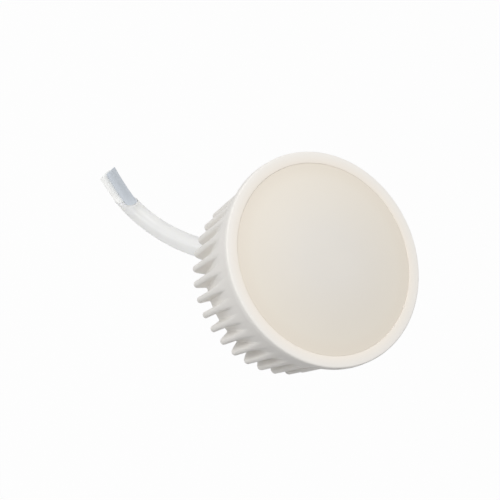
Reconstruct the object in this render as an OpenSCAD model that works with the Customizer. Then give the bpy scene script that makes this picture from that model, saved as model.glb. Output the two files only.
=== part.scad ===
// Round LED module with a finned white housing, an opal front and a short two-core lead.
// The light leaves along +Z. The origin is on the axis, halfway through the front rim.

/* [Rim] */
// Diameter over the front rim
rim_d = 50; // [46:1:60]
// Depth from the rim's front face to the rear end of the fins
module_h = 23; // [22:1:32]
// Thickness of the rim
rim_t = 2; // [1.6:0.1:3]
// Rounding of the rim's edges
rim_round = 0.4; // [0.2:0.1:0.6]
// How far the rim stands out past the collar behind it
rim_lip = 1.2; // [0.6:0.1:2]
// Width of the flat ring round the diffuser
face_ring_w = 2.75; // [2.2:0.05:3.5]

/* [Fins] */
// Number of fins
fin_count = 36; // [24:1:40]
// Lean of the fin crests towards the axis, in degrees
crest_lean = 6.2; // [4:0.1:8]
// Length of the smooth collar between the rim and the grooves
collar_l = 5.5; // [4.5:0.5:7]
// Depth of the grooves at the rear end
groove_depth = 3.75; // [2.5:0.05:4]
// Width of the grooves at their flat floor
groove_w = 1.9; // [1.2:0.1:2]
// Rounding of the groove floor's corners
groove_round = 0.4; // [0.2:0.1:0.5]
// Draft of the groove flanks, in degrees
groove_draft = 2; // [1:0.5:4]
// Rounding of the fin crests at the rear end
crest_round = 0.75; // [0.3:0.05:0.8]
// Rounding of the outer corner of each fin tip
tip_round = 1.2; // [0.4:0.1:1.6]

/* [Housing] */
// Wall between the groove floors and the inner cone
housing_wall = 1.9; // [1.6:0.1:2.4]
// Thickness of the rear plate
rear_t = 1.6; // [1.2:0.1:2.4]
// Depth of the seat that takes the diffuser
seat_depth = 2.5; // [2.2:0.1:3]
// Width of the ledge under the diffuser
ledge_w = 0.75; // [0.5:0.05:1]
// Number of posts that carry the driver board
post_count = 3; // [3:2:5]
// Diameter of a post
post_d = 2.6; // [2:0.1:3]
// Distance of the posts from the driver board's edge
post_edge = 3; // [2.5:0.1:4]

/* [Diffuser] */
// Height of the dome's crown above the rim's face
dome_h = 1.7; // [1:0.1:4]
// How far the dome's edge lies below the rim's face
dome_drop = 0.2; // [0.1:0.05:0.5]
// Wall of the diffuser
dome_wall = 1.2; // [0.8:0.1:1.5]
// Fullness of the dome, from 2 for a plain bowl to 6 for a flat top
dome_power = 2.5; // [2:0.1:6]
// How softly the dome runs out into its edge, from 1 for a plain edge
dome_brim = 1.5; // [1:0.1:2]
// Height of the snap bead on the diffuser's edge
bead_h = 0.25; // [0.15:0.05:0.35]
// Width of the snap bead
bead_w = 0.8; // [0.6:0.1:1]
// Clearance round the diffuser
lens_gap = 0.05; // [0.03:0.01:0.1]

/* [Heat path] */
// Depth of the spreader's front face below the rim's face
spreader_depth = 6.4; // [6.2:0.1:7.4]
// Thickness of the spreader's disc
spreader_t = 2; // [1.5:0.1:2.5]
// Wall of the spreader's skirt
spreader_wall = 1; // [0.8:0.1:1.2]
// Length of the spreader's skirt
skirt_l = 7.6; // [4:0.2:9]
// Clearance of pressed-in pieces
press_gap = 0.1; // [0.05:0.01:0.15]
// Thickness of the thermal pad
pad_t = 0.3; // [0.2:0.1:0.5]
// How far the pad's edge lies inside the board's edge
pad_inset = 0.8; // [0.4:0.1:1.2]

/* [LED board] */
// Thickness of the LED board
board_t = 1.2; // [1:0.1:1.6]
// Gap between the board's edge and the housing
board_gap = 0.6; // [0.3:0.1:0.8]
// Length of an LED package
led_l = 3.5; // [3:0.1:4]
// Width of an LED package
led_w = 2.8; // [2.4:0.1:3]
// Height of an LED package
led_h = 0.7; // [0.5:0.1:0.9]
// Rim of an LED package round its phosphor
led_rim = 0.35; // [0.2:0.05:0.5]
// Depth of the phosphor in its package
phosphor_t = 0.4; // [0.2:0.1:0.4]
// Number of LEDs in the outer circle
outer_leds = 12; // [9:3:12]
// Number of LEDs in the inner circle
inner_leds = 6; // [3:1:6]
// Distance of the outer LEDs from the board's edge
led_edge = 6.4; // [6.2:0.1:7]
// Distance between the two circles of LEDs
led_ring_gap = 7; // [5:0.5:8]
// Number of board screws
screw_count = 3; // [3:1:4]
// Distance of the screws from the board's edge
screw_edge = 3; // [2.8:0.1:3.2]
// Diameter of a screw's thread
screw_d = 2.4; // [2:0.1:2.6]
// Diameter of a screw's head
head_d = 4.5; // [4:0.1:4.8]
// Diameter of the flat on top of a screw's head
head_top_d = 3.2; // [2.8:0.1:3.4]
// Height of a screw's head
head_h = 1.5; // [1.3:0.1:1.8]
// Height of the straight side of a screw's head
head_side_h = 0.9; // [0.5:0.1:1]
// Length of the cross recess in a screw's head
recess_l = 2.5; // [2:0.1:2.7]
// Width of the cross recess
recess_w = 0.6; // [0.4:0.1:0.8]
// Depth of the cross recess
recess_depth = 0.9; // [0.6:0.1:1.1]
// Clearance round a screw in the board and the pad
screw_gap = 0.15; // [0.1:0.05:0.3]
// How far a screw reaches through the spreader
screw_past = 0.8; // [0.3:0.1:1]
// Diameter of a link pin between the two boards
pin_d = 0.8; // [0.6:0.1:1]
// Distance between the two link pins
pin_pitch = 2.54; // [2.2:0.02:3]
// Distance of the link pins from the axis
pin_x = 3.2; // [3:0.1:3.6]
// How far the link pins stand out past the boards
pin_past = 0.8; // [0.7:0.1:1]
// Clearance round pins and wires in their holes
hole_gap = 0.2; // [0.1:0.05:0.3]
// How far a cone of solder spreads round its pin
solder_w = 0.6; // [0.4:0.1:0.7]
// Height of a cone of solder
solder_h = 0.6; // [0.4:0.1:0.7]
// Thickness of the solder at the top of its cone
solder_top = 0.15; // [0.05:0.05:0.3]

/* [Insulating liner] */
// Wall of the liner
liner_t = 0.8; // [0.6:0.1:1]
// Gap between the spreader and the liner's front
liner_gap = 1.2; // [1.1:0.1:1.5]
// Wall of the chimney round the link pins
chimney_wall = 0.7; // [0.5:0.1:0.8]
// Diameter of the nubs that bear on the spreader
nub_d = 2; // [1.5:0.1:2.5]
// Width of the ribs that hold the driver board down
rib_w = 1.2; // [0.8:0.1:1.6]
// How far a rib reaches in over the driver board
rib_reach = 1.4; // [1:0.1:1.6]
// Room round the bushing's collar and the lead in the liner's skirt
bushing_room = 0.5; // [0.3:0.1:0.8]

/* [Driver] */
// Thickness of the driver board
driver_t = 1; // [0.8:0.1:1.6]
// Gap between the rear plate and the driver board
driver_gap = 3.2; // [2.6:0.1:3.6]
// Clearance round the driver board
driver_fit = 0.2; // [0.1:0.05:0.3]
// Room between neighbours on the driver board
part_gap = 0.4; // [0.3:0.1:0.5]
// Diameter of the electrolytic capacitor
cap_d = 6; // [5:0.1:6]
// Length of the electrolytic capacitor
cap_l = 11; // [8:0.5:11]
// Distance of the electrolytic capacitor from the board's edge
cap_edge = 6.1; // [6:0.1:7]
// Rounding of the can's closed end
cap_round = 0.3; // [0.1:0.1:0.6]
// Distance of the crimp groove from the can's sealed end
crimp_l = 1.6; // [1.2:0.1:2]
// Width of the crimp groove
crimp_w = 0.8; // [0.4:0.1:1]
// Depth of the crimp groove
crimp_depth = 0.4; // [0.2:0.1:0.6]
// Width of the bevel round the can's sealed end
seal_w = 0.6; // [0.3:0.1:0.8]
// Depth of the bevel round the can's sealed end
seal_h = 0.2; // [0.1:0.1:0.4]
// Length, width and height of the film capacitor
film_size = [7.5, 3, 6]; // [2:0.1:8]
// Distance of the film capacitor from the board's edge
film_edge = 6.6; // [6:0.1:7]
// Diameter of the inductor
coil_d = 6; // [5:0.1:6.5]
// Height of the inductor
coil_h = 6; // [4:0.1:6]
// Distance of the inductor from the board's edge
coil_edge = 7; // [6:0.1:7.5]
// Thickness of the inductor's flanges
flange_t = 1; // [0.6:0.1:1.4]
// Diameter of the inductor's core between its flanges
core_post_d = 3; // [2:0.1:3.5]
// How far the winding lies inside the flanges' edge
winding_inset = 0.3; // [0.1:0.1:0.5]
// Length, width and height of the bridge rectifier
bridge_size = [4.7, 3.8, 2.4]; // [1:0.1:5]
// Distance between the bridge rectifier's leads
bridge_pitch = 2.5; // [2:0.1:3]
// Length, width and height of the driver chip
ic_size = [4.9, 3.9, 1.5]; // [1:0.1:5]
// Number of leads along each side of the driver chip
ic_leads = 4; // [3:1:4]
// Distance between the driver chip's leads
ic_pitch = 1.27; // [1:0.01:1.4]
// Width, length and height of a chip's lead
lead_size = [0.5, 1, 0.6]; // [0.3:0.1:1.2]
// Lift of a chip's body off the board
chip_lift = 0.1; // [0:0.05:0.2]
// Diameter of the fusible resistor's end caps
res_d = 2.4; // [2:0.1:2.6]
// Length of the fusible resistor
res_l = 6.2; // [5:0.1:6.4]
// Length of an end cap
res_cap_l = 1.2; // [0.8:0.1:1.6]
// How far the end caps stand out past the resistor's body
res_step = 0.2; // [0.1:0.05:0.3]
// Length, width and height of the small flat parts
small_size = [2, 1.2, 0.6]; // [0.4:0.1:2.2]

/* [Lead] */
// Width of the flat sheath
cord_w = 5.5; // [5:0.1:5.8]
// Thickness of the flat sheath
cord_t = 3.2; // [2.8:0.1:3.4]
// Diameter of an insulated core
core_d = 2.6; // [2:0.1:2.6]
// Distance between the two cores
core_pitch = 2.75; // [2.65:0.05:2.9]
// Distance between the two cores at their free ends
core_spread = 2.9; // [2.7:0.1:3.4]
// How much shorter the white core is cut than the grey one
core_short = 1.1; // [0:0.1:2]
// Diameter of the stripped wire that goes through the driver board
wire_d = 1.2; // [0.8:0.1:1.4]
// How far the wires come through the driver board
wire_past = 0.8; // [0.5:0.1:1.2]
// Diameter of the bushing in the rear plate
bushing_d = 7; // [6.6:0.1:7.4]
// Diameter of the bushing's two collars
bushing_collar_d = 8.4; // [8:0.1:8.8]
// Thickness of the bushing's collars
bushing_collar_t = 0.8; // [0.6:0.1:1]
// Length of the bushing behind the fins
bushing_l = 3; // [2:0.5:6]
// Diameter of the bushing's outer end
bushing_end_d = 6.2; // [5.8:0.1:6.6]
// Gap between the bushing's inner collar and the housing's inner cone
bushing_edge = 0.1; // [0.05:0.05:0.5]

/* [Hidden] */
$fn = 96;
// Overlap of a cutter past the face that it cuts
over = 1;

// Levels along the axis
face_z = rim_t / 2;
collar_z = -rim_t / 2;
back_z = face_z - module_h;
plate_z = back_z + rear_t;
groove_z = collar_z - collar_l;
ledge_z = face_z - seat_depth;
spreader_z = face_z - spreader_depth;
shoulder_z = spreader_z - spreader_t;
pad_z = spreader_z;
board_z = pad_z + pad_t;
led_z = board_z + board_t;
liner_z = shoulder_z - liner_gap;
driver_z = plate_z + driver_gap;
parts_z = driver_z + driver_t;
dome_edge_z = face_z - dome_drop;
bead_z = (ledge_z + dome_edge_z) / 2;
bushing_z = back_z - bushing_l;

// Radii of the housing: fin crests, groove floors and the inner cone
rim_r = rim_d / 2;
function crest_r(z) = rim_r - rim_lip - (collar_z - z) * tan(crest_lean);
floor_back_r = crest_r(back_z) - groove_depth;
floor_lean = atan((crest_r(groove_z) - floor_back_r) / (groove_z - back_z));
floor_l = (groove_z - back_z) / cos(floor_lean);
function floor_r(z) = floor_back_r + (z - back_z) * tan(floor_lean);
function inner_r(z) = floor_r(z) - housing_wall;
seat_r = rim_r - face_ring_w;
chamber_r = seat_r - ledge_w;
lens_r = seat_r - lens_gap;

// Half-section of a groove, square to its floor: x up from the floor, y out from its middle
corner_y = groove_w / 2 - groove_round;
flank_x = groove_round * (1 - sin(groove_draft));
function flank_y(x) = corner_y + groove_round * cos(groove_draft) + (x - flank_x) * tan(groove_draft);
// Corner between a flank and its crest at the rear end, and half the crest that is left there
rear_corner = [groove_depth * cos(floor_lean), groove_depth * sin(floor_lean)];
fin_half = crest_r(back_z) * sin(180 / fin_count) - flank_y(rear_corner[0]);
crest_fillet = min(crest_round, fin_half);
// Angle at which the crest's rounding meets the crest and the flank
crest_break = 12;

// Radii of the pieces inside
board_r = chamber_r - board_gap;
pad_r = board_r - pad_inset;
function skirt_r(z) = inner_r(z) - press_gap;
function liner_r(z) = skirt_r(z) - spreader_wall - press_gap;
driver_r = liner_r(driver_z) - liner_t - driver_fit;
screw_ring_r = board_r - screw_edge;
outer_ring_r = board_r - led_edge;
inner_ring_r = outer_ring_r - led_ring_gap;
post_ring_r = driver_r - post_edge;
chimney_d = pin_pitch + pin_d + 2 * (hole_gap + chimney_wall);
cord_x = inner_r(plate_z) - bushing_collar_d / 2 - bushing_edge;

// Ribs of the liner, turned clear of the tall parts, in degrees
rib_turns = [60, 120, 240, 300];

// Places of the parts on the driver board, each beside its neighbours
cap_x = driver_r - cap_edge;
film_y = film_edge - driver_r;
coil_y = driver_r - coil_edge;
bridge_x = -film_size[0] / 2 - part_gap - (bridge_pitch + lead_size[0]) / 2;
bridge_y = film_y + (film_size[1] + bridge_size[1]) / 2 + part_gap;
ic_x = -coil_d / 2 - part_gap - ic_size[0] / 2;
ic_y = bridge_y + (bridge_size[1] + ic_size[1]) / 2 + 2 * lead_size[1] + part_gap;
res_x = film_size[0] / 2 + part_gap;
res_y = film_y - (film_size[1] - res_d) / 2;
small_x = coil_d / 2 + part_gap;
small_y = cap_l / 2 + part_gap;
// Leads along each side of the bridge rectifier
bridge_leads = 2;

// Bends of the lead in the XZ plane, from the bushing's end to the cut ends of the cores
lead_bends = [
    [0, 0], [0, -2], [-0.5, -4.3], [-1.6, -7], [-3.1, -9.4],
    [-4.8, -11.8], [-6.9, -14.2], [-9.3, -16.4], [-12.1, -18.35], [-15.4, -19.95],
    [-18.85, -20.95], [-21.9, -21.25], [-24.95, -20.75], [-28, -19.85], [-31.2, -18.7]
];
cord_route = [for (bend = lead_bends) [bend[0] - cord_x, bend[1] + bushing_z]];
// Point of the route at which the sheath is cut back
sheath_last = 11;

// Copies its children round the axis
module around(count, radius, start = 0) {
    for (i = [0 : count - 1])
        rotate([0, 0, start + i * 360 / count]) translate([radius, 0, 0]) children();
}

// Section of the housing's outside: rounded rim, leaning crests and rounded fin tips
module outer_section() {
    tip_z = back_z + tip_round;
    tip_r = crest_r(tip_z) - tip_round / cos(crest_lean);
    translate([0, -rim_t / 2]) square([rim_r - rim_round, rim_t]);
    translate([0, rim_round - rim_t / 2]) square([rim_r, rim_t - 2 * rim_round]);
    for (side = [-1, 1])
        translate([rim_r - rim_round, side * (rim_t / 2 - rim_round)]) circle(rim_round);
    polygon([
        [0, collar_z], [crest_r(collar_z), collar_z],
        [tip_r + tip_round * cos(crest_lean), tip_z - tip_round * sin(crest_lean)],
        [tip_r, back_z], [0, back_z]
    ]);
    translate([tip_r, tip_z]) circle(tip_round);
}

// Section of the hollow: diffuser seat with its snap groove, LED chamber and inner cone
module hollow_section() {
    polygon([
        [0, face_z + over], [seat_r, face_z + over], [seat_r, bead_z + bead_w / 2],
        [seat_r + bead_h, bead_z], [seat_r, bead_z - bead_w / 2], [seat_r, ledge_z],
        [chamber_r, ledge_z], [chamber_r, shoulder_z], [inner_r(shoulder_z), shoulder_z],
        [inner_r(plate_z), plate_z], [0, plate_z]
    ]);
}

// Space between two fins: flat floor with round corners and drafted flanks
module groove_section() {
    top_x = groove_depth + over;
    for (side = [-1, 1])
        translate([groove_round, side * corner_y]) circle(groove_round);
    polygon([
        [0, -corner_y], [flank_x, -flank_y(flank_x)], [top_x, -flank_y(top_x)],
        [top_x, flank_y(top_x)], [flank_x, flank_y(flank_x)], [0, corner_y]
    ]);
}

// What the rounding takes off one edge of a crest, with the edge at the origin
module crest_edge() {
    centre = crest_fillet * cos(crest_break);
    difference() {
        translate([-centre, -over]) square(centre + over);
        translate([-centre, centre]) circle(crest_fillet);
    }
}

// Cutter for one groove, running out into the collar, and for the crest edges beside it
module groove() {
    rear = [rear_corner[0], flank_y(rear_corner[0]), rear_corner[1]];
    way = [crest_fillet, flank_y(0), floor_l] - rear;
    translate([floor_back_r, 0, back_z]) rotate([0, floor_lean, 0]) {
        translate([0, 0, -over]) linear_extrude(floor_l + 2 * over) groove_section();
        for (side = [0, 1])
            mirror([0, side, 0]) translate(rear)
                rotate([-asin(way[1] / norm(way)), atan2(way[0], way[2]), 0])
                    translate([0, 0, -2 * over]) linear_extrude(norm(way) + 3 * over) crest_edge();
    }
}

module housing() color("#f1f0ec") {
    difference() {
        rotate_extrude() outer_section();
        rotate_extrude() hollow_section();
        for (i = [0 : fin_count - 1])
            rotate([0, 0, (i + 0.5) * 360 / fin_count]) groove();
        translate([-cord_x, 0, back_z - over])
            cylinder(d = bushing_d + 2 * press_gap, h = rear_t + 2 * over);
    }
    around(post_count, post_ring_r) translate([0, 0, plate_z - rear_t / 2])
        cylinder(d = post_d, h = driver_gap + rear_t / 2);
}

// Height of the dome's surface over its edge, for a dome of radius r_max
function dome_z(r, r_max) =
    (dome_h + dome_drop) * pow(1 - pow(r / r_max, dome_power), dome_brim);

module diffuser() {
    steps = 20;
    inner = lens_r - dome_wall;
    color("#e9e2d4") rotate_extrude() polygon(concat(
        [for (i = [0 : steps]) [lens_r * i / steps, dome_edge_z + dome_z(i, steps)]],
        [[lens_r, bead_z + bead_w / 2 - lens_gap], [lens_r + bead_h, bead_z],
            [lens_r, bead_z - bead_w / 2 + lens_gap], [lens_r, ledge_z], [inner, ledge_z]],
        [for (i = [steps : -1 : 0]) [inner * i / steps, dome_edge_z - dome_wall + dome_z(i, steps)]]
    ));
}

module heat_spreader() color("#c4c7ca") difference() {
    end_z = shoulder_z - skirt_l;
    rotate_extrude() polygon([
        [0, spreader_z], [chamber_r - press_gap, spreader_z],
        [chamber_r - press_gap, shoulder_z], [skirt_r(shoulder_z), shoulder_z],
        [skirt_r(end_z), end_z], [skirt_r(end_z) - spreader_wall, end_z],
        [skirt_r(shoulder_z) - spreader_wall, shoulder_z], [0, shoulder_z]
    ]);
    around(screw_count, screw_ring_r) translate([0, 0, shoulder_z - over])
        cylinder(d = screw_d, h = spreader_t + 2 * over);
    translate([pin_x, 0, shoulder_z - over])
        cylinder(d = chimney_d + 2 * hole_gap, h = spreader_t + 2 * over);
}

module thermal_pad() color("#8d98a3") difference() {
    translate([0, 0, pad_z]) cylinder(r = pad_r, h = pad_t);
    around(screw_count, screw_ring_r) translate([0, 0, pad_z - over])
        cylinder(d = screw_d + 2 * screw_gap, h = pad_t + 2 * over);
    translate([pin_x, 0, pad_z - over])
        cylinder(d = chimney_d + 2 * hole_gap, h = pad_t + 2 * over);
}

// Places its children at the two link pins
module at_pins() {
    for (side = [-1, 1])
        translate([pin_x, side * pin_pitch / 2, 0]) children();
}

module led_board() color("#f4f3ee") difference() {
    translate([0, 0, board_z]) cylinder(r = board_r, h = board_t);
    around(screw_count, screw_ring_r) translate([0, 0, board_z - over])
        cylinder(d = screw_d + 2 * screw_gap, h = board_t + 2 * over);
    at_pins() translate([0, 0, board_z - over])
        cylinder(d = pin_d + 2 * hole_gap, h = board_t + 2 * over);
}

// Places its children at every LED, the outer circle turned to clear the screws
module at_leds() {
    around(outer_leds, outer_ring_r, 180 / outer_leds) children();
    around(inner_leds, inner_ring_r, 180 / inner_leds) children();
}

// Phosphor fill of one LED, grown past its face where it is used as a cutter
module phosphor(extra = 0) {
    translate([led_rim - led_w / 2, led_rim - led_l / 2, led_z + led_h - phosphor_t])
        cube([led_w - 2 * led_rim, led_l - 2 * led_rim, phosphor_t + extra]);
}

module led_frames() color("#f7f6f0") at_leds() difference() {
    translate([-led_w / 2, -led_l / 2, led_z]) cube([led_w, led_l, led_h]);
    phosphor(over);
}

module led_phosphors() color("#e8c94f") at_leds() phosphor();

module board_screws() color("#b9bcc0")
    around(screw_count, screw_ring_r) difference() {
        union() {
            translate([0, 0, shoulder_z - screw_past])
                cylinder(d = screw_d, h = led_z - shoulder_z + screw_past);
            translate([0, 0, led_z]) cylinder(d = head_d, h = head_side_h);
            translate([0, 0, led_z + head_side_h])
                cylinder(d1 = head_d, d2 = head_top_d, h = head_h - head_side_h);
        }
        for (turn = [0, 90]) rotate([0, 0, turn])
            translate([-recess_l / 2, -recess_w / 2, led_z + head_h - recess_depth])
                cube([recess_l, recess_w, recess_depth + over]);
    }

// Solder cone round a pin, pointing up
module solder_cone() {
    difference() {
        cylinder(d1 = pin_d + 2 * solder_w, d2 = pin_d + 2 * solder_top, h = solder_h);
        translate([0, 0, -over]) cylinder(d = pin_d, h = solder_h + 2 * over);
    }
}

module solder_joints() color("#c9ccd0") {
    at_pins() translate([0, 0, led_z]) solder_cone();
    at_pins() translate([0, 0, driver_z]) mirror([0, 0, 1]) solder_cone();
}

module link_pins() color("#d3b25a") at_pins()
    translate([0, 0, driver_z - pin_past])
        cylinder(d = pin_d, h = led_z - driver_z + 2 * pin_past);

// Rib from the liner's wall in over the driver board
module hold_down_rib() {
    inner = driver_r - rib_reach;
    top_z = liner_z - liner_t / 2;
    rotate([90, 0, 0]) linear_extrude(rib_w, center = true) polygon([
        [inner, parts_z], [liner_r(parts_z) - liner_t / 2, parts_z],
        [liner_r(top_z) - liner_t / 2, top_z], [inner, top_z]
    ]);
}

// Cap over the driver: conical skirt on the rear plate, chimney for the pins, nubs and ribs
module insulating_liner() color("#e6e4dc") difference() {
    ceiling_z = liner_z - liner_t;
    union() {
        difference() {
            rotate_extrude() polygon([
                [0, liner_z], [liner_r(liner_z), liner_z], [liner_r(plate_z), plate_z],
                [liner_r(plate_z) - liner_t, plate_z],
                [liner_r(ceiling_z) - liner_t, ceiling_z], [0, ceiling_z]
            ]);
            translate([-cord_x, 0, plate_z - over])
                cylinder(d = bushing_collar_d + 2 * bushing_room, h = driver_gap + over);
        }
        translate([pin_x, 0, ceiling_z]) cylinder(d = chimney_d, h = board_z - ceiling_z);
        around(screw_count, screw_ring_r, 180 / screw_count) translate([0, 0, ceiling_z])
            cylinder(d = nub_d, h = shoulder_z - ceiling_z);
        for (turn = rib_turns) rotate([0, 0, turn]) hold_down_rib();
    }
    at_pins() translate([0, 0, ceiling_z - over])
        cylinder(d = pin_d + 2 * hole_gap, h = board_z - ceiling_z + 2 * over);
}

// Places its children at the two cores inside the housing
module at_leads() {
    for (side = [-1, 1])
        translate([side * core_pitch / 2 - cord_x, 0, 0]) children();
}

module driver_board() color("#3f7a52") difference() {
    translate([0, 0, driver_z]) cylinder(r = driver_r, h = driver_t);
    at_pins() translate([0, 0, driver_z - over])
        cylinder(d = pin_d, h = driver_t + 2 * over);
    at_leads() translate([0, 0, driver_z - over])
        cylinder(d = wire_d + hole_gap, h = driver_t + 2 * over);
}

// Lying can with its crimp groove and sealed end
module electrolytic_capacitor() color("#2c3a52")
    translate([cap_x, cap_l / 2, parts_z + cap_d / 2]) rotate([90, 0, 0])
        rotate_extrude() polygon([
            [0, 0], [cap_d / 2 - cap_round, 0], [cap_d / 2, cap_round],
            [cap_d / 2, cap_l - crimp_l - crimp_w / 2], [cap_d / 2 - crimp_depth, cap_l - crimp_l],
            [cap_d / 2, cap_l - crimp_l + crimp_w / 2], [cap_d / 2, cap_l - seal_h],
            [cap_d / 2 - seal_w, cap_l], [0, cap_l]
        ]);

module film_capacitor() color("#c8a53a")
    translate([-film_size[0] / 2, film_y - film_size[1] / 2, parts_z]) cube(film_size);

module inductor_core() color("#3c3a3a") translate([0, coil_y, parts_z]) rotate_extrude()
    polygon([
        [0, 0], [coil_d / 2, 0], [coil_d / 2, flange_t], [core_post_d / 2, flange_t],
        [core_post_d / 2, coil_h - flange_t], [coil_d / 2, coil_h - flange_t],
        [coil_d / 2, coil_h], [0, coil_h]
    ]);

module inductor_winding() color("#b5743a")
    translate([0, coil_y, parts_z + flange_t]) difference() {
        cylinder(d = coil_d - 2 * winding_inset, h = coil_h - 2 * flange_t);
        translate([0, 0, -over]) cylinder(d = core_post_d, h = coil_h + 2 * over);
    }

// Moulded chip of a given size with its leads along both long sides
module leaded_chip(size, leads, pitch) {
    translate([-size[0] / 2, -size[1] / 2, chip_lift])
        cube([size[0], size[1], size[2] - chip_lift]);
    for (side = [-1, 1], i = [0 : leads - 1])
        translate([(i - (leads - 1) / 2) * pitch, side * (size[1] + lead_size[1]) / 2, 0])
            translate([-lead_size[0] / 2, -lead_size[1] / 2, 0]) cube(lead_size);
}

module bridge_rectifier() color("#2b2b2d")
    translate([bridge_x, bridge_y, parts_z]) leaded_chip(bridge_size, bridge_leads, bridge_pitch);

module driver_ic() color("#27282a")
    translate([ic_x, ic_y, parts_z]) leaded_chip(ic_size, ic_leads, ic_pitch);

// Lying resistor with a cap on each end
module fusible_resistor() color("#9fb3a8")
    translate([res_x, res_y, parts_z + res_d / 2]) rotate([0, 90, 0]) {
        cylinder(d = res_d - 2 * res_step, h = res_l);
        for (end = [0, res_l - res_cap_l])
            translate([0, 0, end]) cylinder(d = res_d, h = res_cap_l);
    }

// Small flat resistors and capacitors, two by two
module chip_parts() color("#55504a")
    for (i = [0, 1], j = [0, 1])
        translate([
            small_x + i * (small_size[0] + part_gap), small_y + j * (small_size[1] + part_gap), parts_z
        ]) cube(small_size);

// Moulded grommet: collar on each side of the rear plate and a short taper behind it
module cord_bushing() color("#f3f2ee") translate([-cord_x, 0, 0]) rotate_extrude() polygon([
    [0, plate_z + bushing_collar_t], [bushing_collar_d / 2, plate_z + bushing_collar_t],
    [bushing_collar_d / 2, plate_z], [bushing_d / 2, plate_z], [bushing_d / 2, back_z],
    [bushing_collar_d / 2, back_z], [bushing_collar_d / 2, back_z - bushing_collar_t],
    [bushing_end_d / 2, bushing_z], [0, bushing_z]
]);

// The two cores inside, from the bushing up to the board, and their wires through it
module inner_leads() color("#dfe0e2") at_leads() {
    foot_z = plate_z + bushing_collar_t;
    translate([0, 0, foot_z]) cylinder(d = core_d, h = driver_z - foot_z);
    translate([0, 0, foot_z]) cylinder(d = wire_d, h = parts_z + wire_past - foot_z);
}

// Unit tangent of the lead's route at point i, straight out of the bushing at the first one
function route_step(i) = cord_route[min(i + 1, len(cord_route) - 1)] - cord_route[i > 0 ? i - 1 : 0];
function route_tangent(i) = route_step(i) / norm(route_step(i));
// Point beside the route: a along the sheath's width, in the bend's plane, b across it,
// and moved back along the route
function beside(i, a, b, back = 0) = let (t = route_tangent(i), p = cord_route[i] - back * t)
    [p[0] + a * t[1], b, p[1] - a * t[0]];

// Closed tube through rings of equal length
module tube_of(rings) {
    sides = len(rings[0]);
    last = (len(rings) - 1) * sides;
    polyhedron(
        points = [for (ring = rings, p = ring) p],
        faces = concat(
            [[for (k = [0 : sides - 1]) k]],
            [for (start = [0 : sides : last - sides], k = [0 : sides - 1])
                let (next = (k + 1) % sides)
                [start + k, start + sides + k, start + sides + next, start + next]],
            [[for (k = [sides - 1 : -1 : 0]) last + k]]
        )
    );
}

// Flat sheath, from the bushing to where it is cut back: two half rounds joined by flats
module cord_sheath() color("#f4f4f1") {
    flat = (cord_w - cord_t) / 2;
    steps = 4;
    tube_of([for (i = [0 : sheath_last]) [for (side = [1, -1], k = [0 : steps])
        let (turn = k * 180 / steps - 90)
        beside(i, side * (flat + cord_t / 2 * cos(turn)), side * cord_t / 2 * sin(turn))]]);
}

// One round core, from the cut sheath to its free end, spreading from its neighbour
module core(side, short) {
    last = len(cord_route) - 1;
    steps = 8;
    tube_of([for (i = [sheath_last : last])
        let (share = (i - sheath_last) / (last - sheath_last))
        let (offset = side * (core_pitch + (core_spread - core_pitch) * share) / 2)
        [for (turn = [0 : 360 / steps : 359])
            beside(i, offset + core_d / 2 * cos(turn), core_d / 2 * sin(turn), i == last ? short : 0)]]);
}

module core_white() color("#f0f0ee") core(-1, core_short);

module core_grey() color("#b9bec6") core(1, 0);

housing();
diffuser();
heat_spreader();
thermal_pad();
led_board();
led_frames();
led_phosphors();
board_screws();
solder_joints();
link_pins();
insulating_liner();
driver_board();
electrolytic_capacitor();
film_capacitor();
inductor_core();
inductor_winding();
bridge_rectifier();
fusible_resistor();
driver_ic();
chip_parts();
cord_bushing();
inner_leads();
cord_sheath();
core_white();
core_grey();
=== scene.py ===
import math

import bpy
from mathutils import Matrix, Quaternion, Vector


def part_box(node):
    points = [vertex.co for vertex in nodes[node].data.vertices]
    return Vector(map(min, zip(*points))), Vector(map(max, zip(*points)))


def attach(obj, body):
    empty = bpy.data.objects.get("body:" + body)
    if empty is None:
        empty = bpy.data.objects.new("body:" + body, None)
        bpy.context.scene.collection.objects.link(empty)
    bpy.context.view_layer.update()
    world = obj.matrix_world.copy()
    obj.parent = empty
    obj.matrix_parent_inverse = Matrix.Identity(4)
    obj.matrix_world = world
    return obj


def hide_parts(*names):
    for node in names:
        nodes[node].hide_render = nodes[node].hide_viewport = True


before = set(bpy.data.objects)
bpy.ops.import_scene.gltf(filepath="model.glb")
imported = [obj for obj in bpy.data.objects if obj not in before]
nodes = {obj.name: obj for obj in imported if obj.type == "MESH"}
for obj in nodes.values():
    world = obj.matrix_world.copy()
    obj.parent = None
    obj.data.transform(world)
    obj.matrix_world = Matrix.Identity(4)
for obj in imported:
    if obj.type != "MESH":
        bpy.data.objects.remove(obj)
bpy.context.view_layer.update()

# Housing: one moulding of white heat-conducting plastic, a flat rim in front and
# thirty-six fins behind it. The grooves between the fins are open at the rear and run
# out into a smooth collar, and the mould rounds every outer edge.
mm = 0.001
housing_low, housing_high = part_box("housing")
rim_r = housing_high.x
face_z = housing_high.z
back_z = housing_low.z
rim_t = 2 * mm
rim_round = 0.4 * mm
collar_z = face_z - rim_t
collar_r = rim_r - 1.2 * mm
collar_root = 0.3 * mm
seat_r = rim_r - 2.75 * mm
seat_edge = 0.12 * mm
ledge_z = face_z - 2.5 * mm
chamber_r = seat_r - 0.75 * mm
shoulder_z = face_z - 8.4 * mm
plate_z = back_z + 1.6 * mm
plate_lip = 0.6 * mm
bead_z = face_z - 1.35 * mm
bead_w = 0.8 * mm
bead_h = 0.25 * mm
wall_t = 1.9 * mm
fin_count = 36
crest_lean = math.radians(6.2)
groove_z = collar_z - 5.5 * mm
groove_depth = 3.75 * mm
groove_half = 0.95 * mm
groove_flare = 0.13 * mm
floor_round = 0.4 * mm
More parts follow.
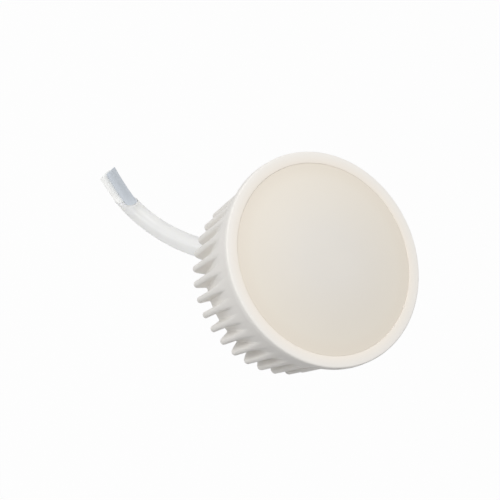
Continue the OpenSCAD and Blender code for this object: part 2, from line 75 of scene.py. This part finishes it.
crest_round = 0.75 * mm
run_out = 0.12 * mm
tip_round = 1.2 * mm
round_share = 0.45
round_steps = 3
crest_share = 0.985
weld = 0.002 * mm


def crest_r(z):
    """Distance of the fin crests from the axis at a height."""
    return collar_r - (collar_z - z) * math.tan(crest_lean)


floor_back_r = crest_r(back_z) - groove_depth
floor_slope = (crest_r(groove_z) - floor_back_r) / (groove_z - back_z)


def depth_at(z):
    """Depth of a groove at a height, easing in where it runs out into the collar."""
    sunk = (groove_z - z) * (floor_slope - math.tan(crest_lean)) / 2
    return sunk + math.hypot(sunk, run_out)


def arc(r, z, radius, start, end, steps=4):
    """Points of an arc in the half-section, between two angles in degrees."""
    turns = [math.radians(start + (end - start) * i / steps) for i in range(steps + 1)]
    return [(r + radius * math.cos(turn), z + radius * math.sin(turn)) for turn in turns]


def groove_section(depth):
    """Half a groove across: distance from its middle, and share of the way up the fin."""
    flat = groove_half - floor_round
    rise = min(floor_round, round_share * depth)
    fall = min(crest_round, round_share * depth)
    turns = [math.radians(90 * i / round_steps) for i in range(round_steps + 1)]
    points = [(0, 0), (flat / 2, 0)]
    for turn in turns:
        points.append((flat + floor_round * math.sin(turn), rise * (1 - math.cos(turn))))
    for turn in turns:
        side = groove_half + groove_flare + crest_round * (1 - math.cos(turn))
        points.append((side, depth - fall * (1 - math.sin(turn))))
    return [(side, height / depth if depth else 0) for side, height in points]


# The skin runs from the rear plate's inside over the rim to its outside. Each row of it is a
# place on a fin's crest and one on the groove's floor, which are the same where it is smooth.
tip_z = back_z + tip_round
tip_r = crest_r(tip_z) - tip_round / math.cos(crest_lean)
smooth_rows = [
    (floor_back_r - wall_t - plate_lip, plate_z),
    (floor_back_r - wall_t + (plate_z - back_z) * floor_slope, plate_z),
    (floor_back_r - wall_t + (shoulder_z - back_z) * floor_slope, shoulder_z),
    (chamber_r, shoulder_z), (chamber_r, ledge_z), (seat_r, ledge_z),
    (seat_r, bead_z - bead_w / 2), (seat_r + bead_h, bead_z), (seat_r, bead_z + bead_w / 2),
]
smooth_rows += arc(seat_r + seat_edge, face_z - seat_edge, seat_edge, 180, 90, 3)
smooth_rows += arc(rim_r - rim_round, face_z - rim_round, rim_round, 90, 0)
smooth_rows += arc(rim_r - rim_round, collar_z + rim_round, rim_round, 0, -90)
smooth_rows += arc(collar_r + collar_root, collar_z - collar_root, collar_root, 90, 180, 3)
rows = [(point, point) for point in smooth_rows]
groove_steps = 18
tip_start = tip_z - tip_round * math.sin(crest_lean)
for i in range(1, groove_steps + 1):
    z = collar_z - collar_root + (tip_start - collar_z + collar_root) * i / groove_steps
    rows.append(((crest_r(z), z), (crest_r(z) - depth_at(z), z)))
tip_arc = arc(tip_r, tip_z, tip_round, -math.degrees(crest_lean), -90, 6)
for i, point in enumerate(tip_arc[1:], 1):
    z = tip_start + (back_z - tip_start) * i / (len(tip_arc) - 1)
    rows.append((point, (crest_r(z) - depth_at(z), z)))
floor_end = rows[-1][1]
for share in (0.3, 0.6, 1):
    rows.append(((tip_r + (floor_end[0] - tip_r) * share, back_z), floor_end))
rear_edge = (floor_end[0] - plate_lip, back_z)
rows.append((rear_edge, rear_edge))

# One pitch is a grid, from the middle of a fin to the middle of the next, and is then spun
# round. Where the fins get narrow, their round crests share what the pitch leaves them.
bpy.ops.object.select_all(action="DESELECT")
columns = 2 * len(groove_section(1)) + 3
bpy.ops.mesh.primitive_grid_add(x_subdivisions=columns - 1, y_subdivisions=len(rows) - 1)
housing = bpy.context.object
housing.name = "finned_housing"
half_pitch = math.pi / fin_count
for row, (crest, floor) in enumerate(rows):
    across = groove_section(math.dist(crest, floor))
    half = []
    for side, share in across:
        r = floor[0] + (crest[0] - floor[0]) * share
        half.append((math.asin(side / r), r, floor[1] + (crest[1] - floor[1]) * share))
    wall = half[-round_steps - 1][0]
    room = min(1, (crest_share * half_pitch - wall) / (half[-1][0] - wall))
    half[-round_steps:] = [
        (wall + (turn - wall) * room, r, z) for turn, r, z in half[-round_steps:]]
    half.append(((half[-1][0] + half_pitch) / 2, crest[0], crest[1]))
    half.append((half_pitch, crest[0], crest[1]))
    whole = [(-turn, r, z) for turn, r, z in reversed(half[1:])] + half
    for column, (turn, r, z) in enumerate(whole):
        vertex = housing.data.vertices[row * columns + column]
        vertex.co = (r * math.cos(turn + half_pitch), r * math.sin(turn + half_pitch), z)
bpy.ops.object.mode_set(mode="EDIT")
bpy.ops.mesh.select_all(action="SELECT")
bpy.ops.mesh.spin(
    steps=fin_count - 1, dupli=True, angle=2 * math.pi * (fin_count - 1) / fin_count,
    center=(0, 0, 0), axis=(0, 0, 1),
)
bpy.ops.mesh.select_all(action="SELECT")
bpy.ops.mesh.remove_doubles(threshold=weld)
bpy.ops.mesh.fill_holes(sides=0)
bpy.ops.mesh.select_all(action="SELECT")
bpy.ops.mesh.normals_make_consistent(inside=False)
bpy.ops.object.mode_set(mode="OBJECT")

# The hole for the lead's bushing goes through the rear plate, and three posts stand on it.
bushing_low, bushing_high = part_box("cord_bushing")
driver_low, driver_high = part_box("driver_board")
lead_x = (bushing_low.x + bushing_high.x) / 2
rear_t = plate_z - back_z
bushing_hole_r = 3.6 * mm
hole_h = 4 * rear_t
post_r = 1.3 * mm
post_inset = 3 * mm
post_ring_r = driver_high.x - post_inset
post_h = driver_low.z - back_z - rear_t / 2
peg_sides = 64
pegs = [("DIFFERENCE", bushing_hole_r, (lead_x, 0, back_z), hole_h)]
for turn in (0, 2 * math.pi / 3, 4 * math.pi / 3):
    foot = (post_ring_r * math.cos(turn), post_ring_r * math.sin(turn), driver_low.z - post_h / 2)
    pegs.append(("UNION", post_r, foot, post_h))
for operation, radius, place, height in pegs:
    bpy.ops.object.select_all(action="DESELECT")
    bpy.ops.mesh.primitive_cylinder_add(
        vertices=peg_sides, radius=radius, depth=height, location=place)
    peg = bpy.context.object
    merge = housing.modifiers.new("peg", "BOOLEAN")
    merge.operation = operation
    merge.solver = "MANIFOLD"
    merge.object = peg
    bpy.context.view_layer.objects.active = housing
    bpy.ops.object.modifier_apply(modifier=merge.name)
    bpy.data.objects.remove(peg)


def smooth(piece, degrees=35):
    """Smooths a piece's faces, apart from edges that are sharper than an angle."""
    bpy.ops.object.select_all(action="DESELECT")
    piece.select_set(True)
    bpy.context.view_layer.objects.active = piece
    bpy.ops.object.shade_smooth_by_angle(angle=math.radians(degrees))


smooth(housing)


def linear(colour):
    """Linear RGBA of an sRGB hex colour."""
    parts = [int(colour[i:i + 2], 16) / 255 for i in (1, 3, 5)]
    return [c / 12.92 if c <= 0.04045 else ((c + 0.055) / 1.055) ** 2.4 for c in parts] + [1]


def add_node(tree, kind, inputs, **settings):
    """Adds a node; an input takes a value, or the socket that is linked to it."""
    new = tree.nodes.new("ShaderNode" + kind)
    for name, value in settings.items():
        setattr(new, name, value)
    for name, value in inputs.items():
        if isinstance(value, bpy.types.NodeSocket):
            tree.links.new(value, new.inputs[name])
        else:
            new.inputs[name].default_value = value
    return new


def new_material(name):
    """An empty material: its tree, its shader and the object's own coordinates."""
    made = bpy.data.materials.new(name)
    made.use_nodes = True
    shader = made.node_tree.nodes["Principled BSDF"]
    place = add_node(made.node_tree, "TexCoord", {}).outputs["Object"]
    return made, made.node_tree, shader, place


def grained(name, tone, shade, patch, grain, relief, gloss, finish):
    """A surface in two close tones, patch wide, with a grain in its gloss and its relief."""
    made, tree, shader, place = new_material(name)
    clouds = add_node(tree, "TexNoise", {"Vector": place, "Scale": 1 / patch, "Detail": 3})
    grit = add_node(tree, "TexNoise", {"Vector": place, "Scale": 1 / grain, "Detail": 2})
    colour = add_node(tree, "MixRGB", {
        "Fac": clouds.outputs["Fac"], "Color1": linear(tone), "Color2": linear(shade)})
    rough = add_node(tree, "MapRange", {
        "Value": grit.outputs["Fac"], "To Min": gloss[0], "To Max": gloss[1]})
    bump = add_node(tree, "Bump", {"Height": grit.outputs["Fac"], "Distance": relief})
    tree.links.new(colour.outputs["Color"], shader.inputs["Base Color"])
    tree.links.new(rough.outputs["Result"], shader.inputs["Roughness"])
    tree.links.new(bump.outputs["Normal"], shader.inputs["Normal"])
    for socket, value in finish.items():
        shader.inputs[socket].default_value = value
    return made


def dress(piece, made):
    """Gives a piece one material in place of what it had."""
    piece.data.materials.clear()
    piece.data.materials.append(made)


# White polycarbonate with a mineral filler, moulded in a spark-eroded tool: matt, with a
# fine grain that is drawn at 0.4 mm so that it shows, and faint flow marks 12 mm wide.
# The flat ring of the rim gets a painted glow in the opal's warm tone, most of all beside it.
white = grained(
    "white_polycarbonate", "#f7f4ef", "#f3f0eb", 12 * mm, 0.4 * mm, 0.01 * mm, (0.5, 0.62),
    {"IOR": 1.58},
)
tree = white.node_tree
shader = tree.nodes["Principled BSDF"]
plain = shader.inputs["Base Color"].links[0].from_socket
place = add_node(tree, "TexCoord", {}).outputs["Object"]
axes = add_node(tree, "SeparateXYZ", {"Vector": place})
# Painted glow: the face of the ring is mixed towards a warm tone, most near the opal's seat, as if
# lit by the opal.
warm_low = face_z - 0.6 * mm
warm_high = face_z - 0.1 * mm
front = add_node(tree, "MapRange", {
    "Value": axes.outputs["Z"], "From Min": warm_low, "From Max": warm_high})
flat_place = add_node(tree, "VectorMath", {0: place, 1: (1, 1, 0)}, operation="MULTIPLY")
radius = add_node(tree, "VectorMath", {0: flat_place.outputs["Vector"]}, operation="LENGTH")
near = add_node(tree, "MapRange", {
    "Value": radius.outputs["Value"], "From Min": seat_r, "From Max": rim_r,
    "To Min": 1, "To Max": 0})
painted_opal_glow = add_node(tree, "Math", {
    0: front.outputs["Result"], 1: near.outputs["Result"]}, operation="MULTIPLY")
tint = add_node(tree, "MixRGB", {
    "Fac": painted_opal_glow.outputs["Value"], "Color1": plain, "Color2": linear("#f7efe4")})
tree.links.new(tint.outputs["Color"], shader.inputs["Base Color"])
dress(housing, white)
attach(housing, "root")
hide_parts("housing")

# Heat spreader and pad: a pressed aluminium cup that carries the light board's heat into
# the fins, and a soft grey silicone pad between the two, both held by the board's screws.
dress(nodes["heat_spreader"], grained(
    "pressed_aluminium", "#c9ccce", "#bdc0c3", 3 * mm, 0.25 * mm, 0.006 * mm, (0.3, 0.42),
    {"Metallic": 1},
))
dress(nodes["thermal_pad"], grained(
    "silicone_pad", "#8f99a3", "#828c97", 1.2 * mm, 0.2 * mm, 0.02 * mm, (0.7, 0.85),
    {"IOR": 1.41},
))

# Light board: an aluminium board under white solder resist, with eighteen surface LEDs.
# Each LED is a moulded white frame that is filled with clear gel and yellow phosphor.
dress(nodes["led_board"], grained(
    "white_solder_resist", "#f5f4f0", "#edece6", 2.5 * mm, 0.3 * mm, 0.006 * mm, (0.28, 0.4),
    {"IOR": 1.52},
))
dress(nodes["led_frames"], grained(
    "white_nylon", "#f6f5f0", "#eeece4", 0.8 * mm, 0.1 * mm, 0.004 * mm, (0.35, 0.5),
    {"IOR": 1.53},
))
dress(nodes["led_phosphors"], grained(
    "phosphor_gel", "#ecd068", "#dcb943", 0.3 * mm, 0.08 * mm, 0.004 * mm, (0.25, 0.4),
    {"IOR": 1.41},
))

# Fixings of the light board: three zinc-plated screws into the spreader, and two brass pins
# down to the driver with a cone of solder at each end.
dress(nodes["board_screws"], grained(
    "zinc_plated_steel", "#bfc2c6", "#aeb2b8", 0.8 * mm, 0.12 * mm, 0.004 * mm, (0.25, 0.38),
    {"Metallic": 1},
))
dress(nodes["link_pins"], grained(
    "drawn_brass", "#d6b660", "#c5a24c", 0.8 * mm, 0.1 * mm, 0.003 * mm, (0.22, 0.34),
    {"Metallic": 1},
))
dress(nodes["solder_joints"], grained(
    "solder", "#cfd1d4", "#bcbfc3", 0.5 * mm, 0.1 * mm, 0.005 * mm, (0.18, 0.32),
    {"Metallic": 1},
))

# Driver: a cap of plain white plastic keeps the mains parts off the spreader, and the round
# circuit board under it stands on three posts of the housing.
dress(nodes["insulating_liner"], grained(
    "white_polyester", "#e8e6de", "#e0ded5", 6 * mm, 0.3 * mm, 0.01 * mm, (0.45, 0.58),
    {"IOR": 1.57},
))
dress(nodes["driver_board"], grained(
    "green_solder_resist", "#3f7d54", "#2f6a45", 1.5 * mm, 0.25 * mm, 0.008 * mm, (0.25, 0.4),
    {"IOR": 1.55},
))

# Parts on the driver board: a sleeved capacitor, a cast film capacitor, a wound ferrite
# bobbin, a coated resistor and black moulded chips, all soldered through or on the board.
dress(nodes["electrolytic_capacitor"], grained(
    "shrunk_vinyl_sleeve", "#2e3c55", "#263349", 2 * mm, 0.3 * mm, 0.004 * mm, (0.22, 0.34),
    {"IOR": 1.53},
))
dress(nodes["film_capacitor"], grained(
    "cast_epoxy", "#cba83e", "#bd9830", 2 * mm, 0.25 * mm, 0.008 * mm, (0.3, 0.45),
    {"IOR": 1.55},
))
dress(nodes["inductor_core"], grained(
    "sintered_ferrite", "#403e3e", "#353333", 0.8 * mm, 0.12 * mm, 0.01 * mm, (0.45, 0.62),
    {"IOR": 2.0},
))
dress(nodes["inductor_winding"], grained(
    "enamelled_copper", "#bd7a3f", "#a7652f", 0.5 * mm, 0.25 * mm, 0.03 * mm, (0.22, 0.36),
    {"Metallic": 1},
))
dress(nodes["fusible_resistor"], grained(
    "flame_proof_coating", "#a3b6ab", "#94a79b", 1 * mm, 0.15 * mm, 0.01 * mm, (0.5, 0.66),
    {"IOR": 1.6},
))
for chip in ("bridge_rectifier", "driver_ic", "chip_parts"):
    dress(nodes[chip], grained(
        "moulding_compound_" + chip, "#2d2d2f", "#252527", 1 * mm, 0.15 * mm, 0.008 * mm,
        (0.5, 0.64), {"IOR": 1.6},
    ))

# Bushing: a soft vinyl grommet moulded round the lead, with a collar on each side of the
# rear plate and a short taper that keeps the lead from kinking.
bushing_top = bushing_high.z
bushing_r = 3.5 * mm
bushing_collar_r = bushing_high.x - lead_x
bushing_collar_t = 0.8 * mm
bushing_end_r = 3.1 * mm
bushing_round = 0.25 * mm
bushing_steps = 64
fine_weld = 0.001 * mm


def turned(name, outline, steps, x=0):
    """A piece turned about an upright axis at x, from the outline of its half-section."""
    mesh = bpy.data.meshes.new(name)
    count = len(outline)
    mesh.from_pydata(
        [(x + r, 0, z) for r, z in outline], [(i, (i + 1) % count) for i in range(count)], [])
    piece = bpy.data.objects.new(name, mesh)
    bpy.context.collection.objects.link(piece)
    bpy.ops.object.select_all(action="DESELECT")
    bpy.context.view_layer.objects.active = piece
    bpy.ops.object.mode_set(mode="EDIT")
    bpy.ops.mesh.select_all(action="SELECT")
    bpy.ops.mesh.spin(steps=steps, angle=2 * math.pi, center=(x, 0, 0), axis=(0, 0, 1))
    bpy.ops.mesh.select_all(action="SELECT")
    bpy.ops.mesh.remove_doubles(threshold=fine_weld)
    bpy.ops.mesh.dissolve_degenerate(threshold=fine_weld)
    bpy.ops.mesh.select_all(action="SELECT")
    bpy.ops.mesh.normals_make_consistent(inside=False)
    bpy.ops.object.mode_set(mode="OBJECT")
    return piece


collar_edge_r = bushing_collar_r - bushing_round
collar_edge_z = back_z - bushing_collar_t + bushing_round
end_edge_r = bushing_end_r - bushing_round
bushing_outline = [(0, bushing_top)]
bushing_outline += arc(collar_edge_r, bushing_top - bushing_round, bushing_round, 90, 0)
bushing_outline += [(bushing_collar_r, plate_z), (bushing_r, plate_z), (bushing_r, back_z)]
bushing_outline += [(bushing_collar_r, back_z)]
bushing_outline += arc(collar_edge_r, collar_edge_z, bushing_round, 0, -70)
bushing_outline += arc(end_edge_r, bushing_low.z + bushing_round, bushing_round, -20, -90)
bushing_outline += [(0, bushing_low.z)]
bushing = turned("lead_bushing", bushing_outline, bushing_steps, lead_x)
smooth(bushing)
# Plasticised vinyl: soft and slightly waxy, with a satin skin from the polished tool.
dress(bushing, grained(
    "white_vinyl", "#f1f1ef", "#ebebe8", 6 * mm, 0.5 * mm, 0.006 * mm, (0.4, 0.52),
    {"IOR": 1.53},
))
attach(bushing, "root")
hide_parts("cord_bushing")

# Lead: a flat white vinyl sheath, extruded over two insulated cores, one white and one blue-grey.
# The sheath is cut back askew near the end, further on the grey core's side, and the white core
# is cut off a little shorter than the grey one.
lead_bends = [
    (0, 0), (0, -2), (-0.5, -4.3), (-1.6, -7), (-3.1, -9.4), (-4.8, -11.8), (-6.9, -14.2),
    (-9.3, -16.4), (-12.1, -18.35), (-15.4, -19.95), (-18.85, -20.95), (-21.9, -21.25),
    (-24.95, -20.75), (-28, -19.85), (-31.2, -18.7),
]
sheath_last = 11
sheath_w = 5.5 * mm
sheath_t = 3.2 * mm
sheath_slant = 2 * mm
sheath_reach = 0.8 * mm
core_w = 2.6 * mm
core_start = 9
core_slant = -0.6 * mm
cut_round = 0.06 * mm
line_steps = 6
corner_steps = 5
slant_steps = 8
# The bends are millimetres sideways and up from the bushing's end. The sheath ends just past
# one of them, sheath_last, and the cores start inside it, at core_start.
lead_points = [Vector((lead_x + x * mm, 0, bushing_low.z + z * mm)) for x, z in lead_bends]


def route_side(i):
    """Unit step across the lead at a point of its route, in the plane of its bend."""
    along = lead_points[min(i + 1, len(lead_points) - 1)] - lead_points[max(i - 1, 0)]
    return Vector((along.z, 0, -along.x)).normalized()


def bent_line(points):
    """A smooth line through points, in short steps."""
    line = []
    for i in range(len(points) - 1):
        before = points[max(i - 1, 0)]
        start = points[i]
        end = points[i + 1]
        after = points[min(i + 2, len(points) - 1)]
        for step in range(line_steps):
            t = step / line_steps
            line.append(0.5 * (
                2 * start + (end - before) * t + (2 * before - 5 * start + 4 * end - after) * t * t
                + (3 * start - before - 3 * end + after) * t ** 3))
    return line + [points[-1]]


def swept(name, line, width, thickness, slant):
    """A tube of a round-edged section along a line, cut askew at its end by a slant."""
    round_r = min(width, thickness) / 2
    flat_w = width / 2 - round_r
    flat_t = thickness / 2 - round_r
    ring = []
    for a, b, start in ((1, -1, -90), (1, 1, 0), (-1, 1, 90), (-1, -1, 180)):
        ring += arc(a * flat_w, b * flat_t, round_r, start, start + 90, corner_steps)
    count = len(ring)
    corners = []
    for i, middle in enumerate(line):
        along = (line[min(i + 1, len(line) - 1)] - line[max(i - 1, 0)]).normalized()
        side = Vector((along.z, 0, -along.x))
        lag = slant * max(0, 1 - (len(line) - 1 - i) / slant_steps) / (width / 2)
        corners += [middle + side * a + Vector((0, b, 0)) - along * a * lag for a, b in ring]
    faces = [[row * count + k, row * count + (k + 1) % count,
              (row + 1) * count + (k + 1) % count, (row + 1) * count + k]
             for row in range(len(line) - 1) for k in range(count)]
    faces += [list(range(count)), [(len(line) - 1) * count + k for k in range(count)]]
    mesh = bpy.data.meshes.new(name)
    mesh.from_pydata(corners, [], faces)
    piece = bpy.data.objects.new(name, mesh)
    bpy.context.collection.objects.link(piece)
    bpy.ops.object.select_all(action="DESELECT")
    bpy.context.view_layer.objects.active = piece
    bpy.ops.object.mode_set(mode="EDIT")
    bpy.ops.mesh.select_all(action="SELECT")
    bpy.ops.mesh.remove_doubles(threshold=fine_weld)
    bpy.ops.mesh.normals_make_consistent(inside=False)
    bpy.ops.object.mode_set(mode="OBJECT")
    edge = piece.modifiers.new("cut_edge", "BEVEL")
    edge.width = cut_round
    edge.segments = 2
    edge.limit_method = "ANGLE"
    edge.angle_limit = math.radians(50)
    bpy.ops.object.modifier_apply(modifier=edge.name)
    smooth(piece)
    return piece


sheath_points = lead_points[:sheath_last + 1]
ahead = (lead_points[sheath_last + 1] - lead_points[sheath_last]).normalized()
sheath_points[-1] = sheath_points[-1] + ahead * sheath_reach
sheath_line = bent_line(sheath_points)
sheath = swept("lead_sheath", sheath_line, sheath_w, sheath_t, sheath_slant)
# Plasticised vinyl lets light about two millimetres in, so its shaded side stays pale.
milky = {
    "IOR": 1.53, "Subsurface Weight": 1, "Subsurface Scale": 2 * mm,
    "Subsurface Radius": (1, 1, 0.95),
}
dress(sheath, grained(
    "extruded_white_vinyl", "#eaeae9", "#e6e6e5", 5 * mm, 0.5 * mm, 0.003 * mm, (0.36, 0.48),
    milky,
))
# A core has a place beside the lead's middle, in millimetres, where the sheath ends and at its
# own end, then its depth, how much shorter than the lead it is cut, and its two tones.
cores = []
for name, apart, deep, short, tones in (
    ("white_core", (-1.4, -1.45), 2.9 * mm, 1.1 * mm, ("#fcfcfa", "#f9f9f7")),
    ("grey_core", (1.375, 1.45), 2.6 * mm, 0, ("#cfd5dc", "#c8cfd7")),
):
    core_points = []
    for i in range(core_start, len(lead_points)):
        share = max(0, (i - sheath_last) / (len(lead_points) - 1 - sheath_last))
        offset = (apart[0] + (apart[1] - apart[0]) * share) * mm
        core_points.append(lead_points[i] + route_side(i) * offset)
    core_points[-1] -= (core_points[-1] - core_points[-2]).normalized() * short
    core = swept(name, bent_line(core_points), core_w, deep, core_slant)
    dress(core, grained(
        name + "_vinyl", *tones, 4 * mm, 0.5 * mm, 0.003 * mm, (0.5, 0.6), {"IOR": 1.53},
    ))
    cores.append(core)
for piece, node, slot in (
    (sheath, "cord_sheath", "cord_white"), (cores[0], "core_white", "cord_white"),
    (cores[1], "core_grey", "core_grey"),
):
    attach(piece, "root")
    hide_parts(node)
dress(nodes["inner_leads"], grained(
    "white_vinyl_inside", "#eeeeec", "#e6e6e4", 3 * mm, 0.4 * mm, 0.005 * mm, (0.4, 0.52),
    {"IOR": 1.53},
))

# Diffuser: a shallow pillow of opal polycarbonate that snaps into the rim. It stays a little
# below the rim at its edge, and its frosted face hides the LEDs.
lens_r = seat_r - 0.02 * mm
lens_wall = 1.2 * mm
lens_edge_z = face_z - 0.08 * mm
lens_rise = 1.78 * mm
lens_flat = 2.5
lens_ease = 1.5
lens_steps = 40
lens_turns = 180
bead_play = 0.05 * mm
lens_out = []
lens_in = []
for i in range(lens_steps + 1):
    share = i / lens_steps
    height = lens_edge_z + lens_rise * (1 - share ** lens_flat) ** lens_ease
    lens_out.append((lens_r * share, height))
    lens_in.append(((lens_r - lens_wall) * share, height - lens_wall))
lens_rim = [
    (lens_r, bead_z + bead_w / 2 - bead_play), (lens_r + bead_h, bead_z),
    (lens_r, bead_z - bead_w / 2 + bead_play), (lens_r, ledge_z), (lens_r - lens_wall, ledge_z),
]
lens = turned("opal_diffuser", lens_out + lens_rim + lens_in[::-1], lens_turns)
smooth(lens)
# Opal polycarbonate, bead-blasted outside: a soft satin white that turns warmer towards its
# edge, where more of the wall is looked through, with painted shade over its last few millimetres
# beside the rim. The blasted grain is drawn at 0.35 mm so that it shows.
warm_r = 6 * mm
edge_shade_r = 18 * mm
cloud_w = 9 * mm
frost_w = 0.35 * mm
frost_depth = 0.004 * mm
opal, tree, shader, place = new_material("opal_polycarbonate")
flat_place = add_node(tree, "VectorMath", {0: place, 1: (1, 1, 0)}, operation="MULTIPLY")
radius = add_node(tree, "VectorMath", {0: flat_place.outputs["Vector"]}, operation="LENGTH")
warmth = add_node(tree, "MapRange", {
    "Value": radius.outputs["Value"], "From Min": warm_r, "From Max": lens_r})
clouds = add_node(tree, "TexNoise", {"Vector": place, "Scale": 1 / cloud_w, "Detail": 2})
middle = add_node(tree, "MixRGB", {
    "Fac": clouds.outputs["Fac"], "Color1": linear("#e9e4dc"), "Color2": linear("#e6e1d9")})
tint = add_node(tree, "MixRGB", {
    "Fac": warmth.outputs["Result"], "Color1": middle.outputs["Color"],
    "Color2": linear("#ece4d6")})
# Painted shade: the edge beside the rim is darkened and warmed, as if in the rim's shadow.
painted_edge_shade = add_node(tree, "MapRange", {
    "Value": radius.outputs["Value"], "From Min": edge_shade_r, "From Max": lens_r},
    interpolation_type="SMOOTHSTEP")
tint = add_node(tree, "MixRGB", {
    "Fac": painted_edge_shade.outputs["Result"], "Color1": tint.outputs["Color"], "Color2": linear("#e9e0d2")})
frost = add_node(tree, "TexNoise", {"Vector": place, "Scale": 1 / frost_w, "Detail": 2})
satin = add_node(tree, "MapRange", {"Value": frost.outputs["Fac"], "To Min": 0.32, "To Max": 0.4})
blast = add_node(tree, "Bump", {"Height": frost.outputs["Fac"], "Distance": frost_depth})
tree.links.new(tint.outputs["Color"], shader.inputs["Base Color"])
tree.links.new(satin.outputs["Result"], shader.inputs["Roughness"])
tree.links.new(blast.outputs["Normal"], shader.inputs["Normal"])
shader.inputs["IOR"].default_value = 1.58
dress(lens, opal)
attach(lens, "root")
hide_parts("diffuser")

# Floor: a wide sheet of pale paper, laid so far below the module that its shadow is faint. To
# the camera and in reflections it is almost white by itself, but it isn't sampled as a lamp,
# and from below it is clear.
floor_z = -400 * mm
floor_w = 6
white_share = 0.97
bpy.ops.object.select_all(action="DESELECT")
bpy.ops.mesh.primitive_plane_add(size=floor_w, location=(0, 0, floor_z))
floor = bpy.context.object
floor.name = "studio_floor"
pale, tree, shader, _ = new_material("pale_floor")
shader.inputs["Base Color"].default_value = linear("#d4d4d4")
shader.inputs["Roughness"].default_value = 0.9
path = add_node(tree, "LightPath", {})
seen = add_node(tree, "Math", {
    0: path.outputs["Is Camera Ray"], 1: path.outputs["Is Glossy Ray"]}, operation="MAXIMUM")
seen = add_node(tree, "Math", {
    0: seen.outputs["Value"], 1: path.outputs["Is Transmission Ray"]}, operation="MAXIMUM")
share = add_node(tree, "Math", {
    0: seen.outputs["Value"], 1: white_share}, operation="MULTIPLY")
shine = add_node(tree, "Emission", {"Color": (1, 1, 1, 1), "Strength": 1})
upper = add_node(tree, "MixShader", {
    "Fac": share.outputs["Value"], 1: shader.outputs["BSDF"], 2: shine.outputs["Emission"]})
under = add_node(tree, "NewGeometry", {})
clear = add_node(tree, "BsdfTransparent", {})
sheet = add_node(tree, "MixShader", {
    "Fac": under.outputs["Backfacing"], 1: upper.outputs["Shader"], 2: clear.outputs["BSDF"]})
tree.links.new(sheet.outputs["Shader"], tree.nodes["Material Output"].inputs["Surface"])
pale.cycles.emission_sampling = "NONE"
dress(floor, pale)

# Studio light: a white room, brighter towards its rear and ceiling, with a soft key lamp up and
# to the left of the view, weaker lamps at the left and behind, and one from below for the lead
# alone. Only the camera and reflections see the room as pure white.
studio = bpy.data.worlds.new("white_studio")
bpy.context.scene.world = studio
studio.use_nodes = True
tree = studio.node_tree
room_light = 0.253
rear_light = 0.566
rear_way = (-0.05, 0.85, 0.52)
path = add_node(tree, "LightPath", {})
seen = add_node(tree, "Math", {
    0: path.outputs["Is Camera Ray"], 1: path.outputs["Is Glossy Ray"]}, operation="MAXIMUM")
seen = add_node(tree, "Math", {
    0: seen.outputs["Value"], 1: path.outputs["Is Transmission Ray"]}, operation="MAXIMUM")
way = add_node(tree, "TexCoord", {}).outputs["Generated"]
rear = add_node(tree, "VectorMath", {0: way, 1: rear_way}, operation="DOT_PRODUCT")
walls = add_node(tree, "MapRange", {
    "Value": rear.outputs["Value"], "To Min": room_light, "To Max": room_light + rear_light})
level = add_node(tree, "MapRange", {
    "Value": seen.outputs["Value"], "To Min": walls.outputs["Result"], "To Max": 1})
backdrop = tree.nodes["Background"]
backdrop.inputs["Color"].default_value = (1, 1, 1, 1)
tree.links.new(level.outputs["Result"], backdrop.inputs["Strength"])
# A lamp has a place and a size in metres, a power in watts, and the pieces it is kept to, if any.
lead_pieces = bpy.data.collections.new("lead")
for piece in [sheath] + cores:
    lead_pieces.objects.link(piece)
for name, place, size, power, lit in (
    ("key_lamp", (-0.343, -0.333, 0.511), 0.4, 2.48, None),
    ("left_lamp", (-0.603, -0.356, 0.014), 0.3, 0.52, None),
    ("rear_lamp", (-0.077, 0.385, 0.58), 0.4, 0.42, None),
    ("lead_lamp", (0.027, -0.51, -0.314), 0.4, 1.4, lead_pieces),
):
    lamp = bpy.data.lights.new(name, "AREA")
    lamp.size = size
    lamp.energy = power
    holder = bpy.data.objects.new(name, lamp)
    bpy.context.collection.objects.link(holder)
    holder.location = place
    holder.rotation_mode = "QUATERNION"
    holder.rotation_quaternion = Vector(place).to_track_quat("Z", "Y")
    holder.light_linking.receiver_collection = lit

# Camera: the photograph's view, from in front and above, rolled over on its side.
aim = Vector((-12.449, -8.326, -6.637)) * mm
distance = 0.6
azimuth = math.radians(-17.275)
elevation = math.radians(56.75)
roll = math.radians(62.62)
away = Vector((
    math.sin(azimuth) * math.cos(elevation), -math.cos(azimuth) * math.cos(elevation),
    math.sin(elevation),
))
view = bpy.data.cameras.new("view")
view.sensor_width = 36
view.lens = 193.6
camera = bpy.data.objects.new("view", view)
bpy.context.collection.objects.link(camera)
camera.location = aim + away * distance
camera.rotation_mode = "QUATERNION"
camera.rotation_quaternion = away.to_track_quat("Z", "Y") @ Quaternion((0, 0, 1), roll)
scene = bpy.context.scene
scene.camera = camera
scene.view_settings.view_transform = "Standard"
